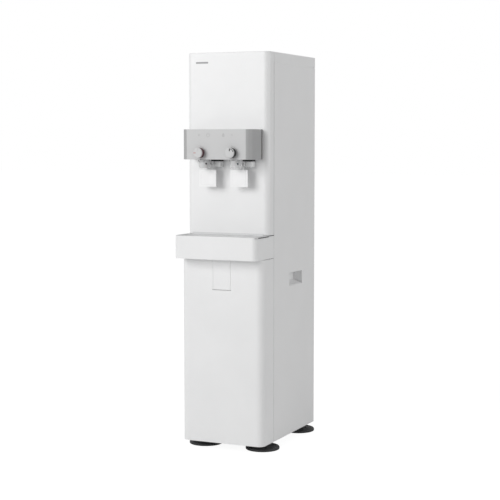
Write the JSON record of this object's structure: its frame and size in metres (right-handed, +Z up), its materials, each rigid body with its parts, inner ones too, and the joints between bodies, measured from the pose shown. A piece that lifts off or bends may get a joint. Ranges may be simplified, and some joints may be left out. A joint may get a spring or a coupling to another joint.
{
  "type": "water dispenser",
  "caption": "Slim floor-standing hot and cold water dispenser with push levers, turn knobs, slide-out drip tray and wide disc feet.",
  "frame": {"origin": "on the floor, under the middle of the overall box", "axes": "+Z up, front with the taps towards -Y, +X to the viewer's right when facing the front"},
  "size_m": [0.285, 0.4608, 1.1565],
  "materials": {
    "white_shell": "fine satin moulded plastic, cool white",
    "grey_shell": "satin light grey",
    "grey_tray": "satin mid grey",
    "dark_plastic": "charcoal, fine grain",
    "black_plastic": "black",
    "red_plastic": "dark red",
    "clear_plastic": "clear moulded plastic",
    "sheet_steel": "folded sheet and stainless vessels",
    "black_metal": "black enamel",
    "foam": "expanded foam",
    "circuit_board": "green circuit board",
    "silicone": "translucent white silicone"
  },
  "bodies": {
    "cabinet": {"base_pan": "sheet_steel", "cold_hose": "silicone", "cold_lever_pin": "sheet_steel", "cold_nozzle": "silicone", "cold_spout_collar": "clear_plastic", "cold_tank": "sheet_steel", "cold_tank_jacket": "foam", "cold_tank_shelf": "sheet_steel", "cold_tap_bracket": "black_plastic", "cold_valve": "dark_plastic", "compressor": "black_metal", "condenser": "black_metal", "control_board": "circuit_board", "filter_head": "dark_plastic", "grip_cup_left": "white_shell", "grip_cup_right": "white_shell", "hot_hose": "silicone", "hot_lever_pin": "sheet_steel", "hot_nozzle": "silicone", "hot_spout_collar": "clear_plastic", "hot_tank": "sheet_steel", "hot_tank_shelf": "sheet_steel", "hot_tap_bracket": "black_plastic", "hot_valve": "dark_plastic", "icon_light_guide": "clear_plastic", "power_board": "circuit_board", "power_inlet": "black_plastic", "rear_panel": "white_shell", "side_panel_left": "white_shell", "side_panel_right": "white_shell", "tap_housing": "grey_shell", "upper_front_panel": "white_shell", "water_inlet": "white_shell"},
    "lower_cover": {"lower_front_panel": "white_shell"},
    "flap": {"service_flap": "white_shell"},
    "lock": {"panel_lock": "dark_plastic"},
    "lid": {"top_cover": "white_shell"},
    "tray": {"drip_tray": "white_shell"},
    "grille": {"drip_grille": "grey_tray"},
    "hot_knob_body": {"hot_knob": "red_plastic", "hot_knob_cap": "grey_shell"},
    "cold_knob_body": {"cold_knob": "black_plastic", "cold_knob_cap": "grey_shell"},
    "hot_lever_body": {"hot_lever": "white_shell"},
    "cold_lever_body": {"cold_lever": "white_shell"},
    "hot_switch_body": {"hot_switch": "black_plastic"},
    "cold_switch_body": {"cold_switch": "black_plastic"},
    "hot_drain": {"hot_drain_cap": "dark_plastic"},
    "cold_drain": {"cold_drain_cap": "dark_plastic"},
    "filter_1_body": {"filter_1": "white_shell"},
    "filter_2_body": {"filter_2": "white_shell"},
    "filter_3_body": {"filter_3": "white_shell"},
    "foot_front_left": {"foot_pad_front_left": "dark_plastic", "foot_stud_front_left": "sheet_steel"},
    "foot_front_right": {"foot_pad_front_right": "dark_plastic", "foot_stud_front_right": "sheet_steel"},
    "foot_rear_left": {"foot_pad_rear_left": "dark_plastic", "foot_stud_rear_left": "sheet_steel"},
    "foot_rear_right": {"foot_pad_rear_right": "dark_plastic", "foot_stud_rear_right": "sheet_steel"}
  },
  "joints": [
    {"name": "lower_cover_pull", "type": "slide", "parent": "cabinet", "child": "lower_cover", "axis": [0, -1, 0], "range_m": [0, 0.06]},
    {"name": "service_flap_swing", "type": "hinge", "parent": "lower_cover", "child": "flap", "pos_m": [0, -0.1718, 0.5575], "axis": [-1, 0, 0], "range_deg": [0, 75]},
    {"name": "panel_lock_turn", "type": "hinge", "parent": "lower_cover", "child": "lock", "pos_m": [0, -0.1671, 0.5155], "axis": [0, -1, 0], "range_deg": [0, 90]},
    {"name": "top_cover_lift", "type": "slide", "parent": "cabinet", "child": "lid", "axis": [0, 0, 1], "range_m": [0, 0.05]},
    {"name": "drip_tray_slide", "type": "slide", "parent": "cabinet", "child": "tray", "axis": [0, -1, 0], "range_m": [0, 0.11]},
    {"name": "drip_grille_lift", "type": "slide", "parent": "tray", "child": "grille", "axis": [0, 0, 1], "range_m": [0, 0.04]},
    {"name": "hot_lever_push", "type": "hinge", "parent": "cabinet", "child": "hot_lever_body", "pos_m": [-0.05, -0.1561, 0.834], "axis": [1, 0, 0], "range_deg": [0, 12], "stiffness_Nm_per_rad": 0.25, "springref_deg": -6.88},
    {"name": "hot_knob_turn", "type": "hinge", "parent": "cabinet", "child": "hot_knob_body", "pos_m": [-0.05, -0.2126, 0.8685], "axis": [0, -1, 0], "range_deg": [0, 90]},
    {"name": "hot_switch_rock", "type": "hinge", "parent": "cabinet", "child": "hot_switch_body", "pos_m": [-0.062, 0.2174, 0.1735], "axis": [1, 0, 0], "range_deg": [0, 14]},
    {"name": "hot_drain_cap_turn", "type": "hinge", "parent": "cabinet", "child": "hot_drain", "pos_m": [-0.06, 0.2214, 0.0855], "axis": [0, 1, 0], "continuous": true},
    {"name": "cold_lever_push", "type": "hinge", "parent": "cabinet", "child": "cold_lever_body", "pos_m": [0.05, -0.1561, 0.834], "axis": [1, 0, 0], "range_deg": [0, 12], "stiffness_Nm_per_rad": 0.25, "springref_deg": -6.88},
    {"name": "cold_knob_turn", "type": "hinge", "parent": "cabinet", "child": "cold_knob_body", "pos_m": [0.05, -0.2126, 0.8685], "axis": [0, -1, 0], "range_deg": [0, 90]},
    {"name": "cold_switch_rock", "type": "hinge", "parent": "cabinet", "child": "cold_switch_body", "pos_m": [0.062, 0.2174, 0.1735], "axis": [1, 0, 0], "range_deg": [0, 14]},
    {"name": "cold_drain_cap_turn", "type": "hinge", "parent": "cabinet", "child": "cold_drain", "pos_m": [0.06, 0.2214, 0.0855], "axis": [0, 1, 0], "continuous": true},
    {"name": "filter_1_twist", "type": "hinge", "parent": "cabinet", "child": "filter_1_body", "pos_m": [-0.078, -0.1166, 0.3635], "axis": [0, 0, 1], "range_deg": [0, 60]},
    {"name": "filter_2_twist", "type": "hinge", "parent": "cabinet", "child": "filter_2_body", "pos_m": [0, -0.1166, 0.3635], "axis": [0, 0, 1], "range_deg": [0, 60]},
    {"name": "filter_3_twist", "type": "hinge", "parent": "cabinet", "child": "filter_3_body", "pos_m": [0.078, -0.1166, 0.3635], "axis": [0, 0, 1], "range_deg": [0, 60]},
    {"name": "foot_front_left_turn", "type": "hinge", "parent": "cabinet", "child": "foot_front_left", "pos_m": [-0.0925, -0.0926, 0], "axis": [0, 0, 1], "continuous": true},
    {"name": "foot_front_right_turn", "type": "hinge", "parent": "cabinet", "child": "foot_front_right", "pos_m": [0.0925, -0.0926, 0], "axis": [0, 0, 1], "continuous": true},
    {"name": "foot_rear_left_turn", "type": "hinge", "parent": "cabinet", "child": "foot_rear_left", "pos_m": [-0.0925, 0.1804, 0], "axis": [0, 0, 1], "continuous": true},
    {"name": "foot_rear_right_turn", "type": "hinge", "parent": "cabinet", "child": "foot_rear_right", "pos_m": [0.0925, 0.1804, 0], "axis": [0, 0, 1], "continuous": true}
  ]
}
